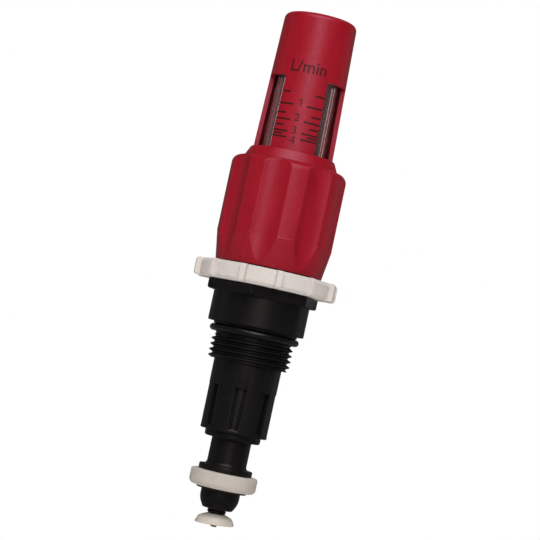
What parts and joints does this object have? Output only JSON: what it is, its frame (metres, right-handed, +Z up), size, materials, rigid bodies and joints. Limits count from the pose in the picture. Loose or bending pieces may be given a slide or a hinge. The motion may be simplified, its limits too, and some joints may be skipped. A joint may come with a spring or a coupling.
{
  "type": "rotameter",
  "caption": "Screw-in flow meter with a balancing valve for a heating manifold: fluted handle with scale windows, lock ring, threaded body, valve seal and umbrella flow disc.",
  "frame": {"origin": "centre of the top end of the manifold thread, on the axis", "axes": "+Z up the axis towards the closed top of the handle; -Z into the manifold; -Y is the side that the scale faces; +X to the right seen from there"},
  "size_m": [0.0386, 0.0386, 0.1387],
  "materials": {
    "black_plastic": "matte moulded",
    "red_plastic": "fine matte moulded",
    "ring_plastic": "matte moulded",
    "seal_rubber": "smooth",
    "disc_plastic": "smooth",
    "o_ring_rubber": "smooth",
    "washer_plastic": "matte",
    "sight_glass": "polished",
    "rod_brass": "drawn",
    "spring_steel": "drawn wire",
    "bush_plastic": "turned"
  },
  "bodies": {
    "root": {"valve_body": "black_plastic", "manifold_o_ring": "o_ring_rubber", "lift_stop_ring": "spring_steel"},
    "lock": {"lock_ring": "ring_plastic"},
    "stem": {"valve_stem": "black_plastic", "stem_o_ring": "o_ring_rubber", "valve_seal": "seal_rubber", "seal_washer": "washer_plastic", "seal_retainer": "black_plastic", "rod_guide_lower": "bush_plastic", "return_spring": "spring_steel"},
    "handle": {"handle_sleeve": "red_plastic", "spindle": "black_plastic", "swivel_clip": "spring_steel", "spindle_o_ring": "o_ring_rubber", "sight_glass": "sight_glass", "glass_o_ring": "o_ring_rubber", "glass_nut": "black_plastic", "rod_guide_upper": "bush_plastic"},
    "float": {"flow_rod": "rod_brass", "flow_collar": "black_plastic", "flow_disc": "disc_plastic", "spring_seat": "bush_plastic", "indicator": "bush_plastic"}
  },
  "joints": [
    {"name": "stem_lift", "type": "slide", "parent": "root", "child": "stem", "axis": [0, 0, 1], "range_m": [0, 0.00375]},
    {"name": "handle_turn", "type": "hinge", "parent": "stem", "child": "handle", "pos_m": [0, 0, 0.03], "axis": [0, 0, 1], "range_deg": [0, 900]},
    {"name": "float_slide", "type": "slide", "parent": "stem", "child": "float", "axis": [0, 0, -1], "range_m": [0, 0.018], "stiffness_N_per_m": 25, "springref_m": -0.012, "deforming": ["return_spring"]},
    {"name": "lock_turn", "type": "hinge", "parent": "root", "child": "lock", "pos_m": [0, 0, 0.0167], "axis": [0, 0, 1], "range_deg": [0, 30]}
  ],
  "couplings": [
    {"joint": "handle_turn", "follows": "stem_lift", "rad_per_m": 4188.8}
  ]
}
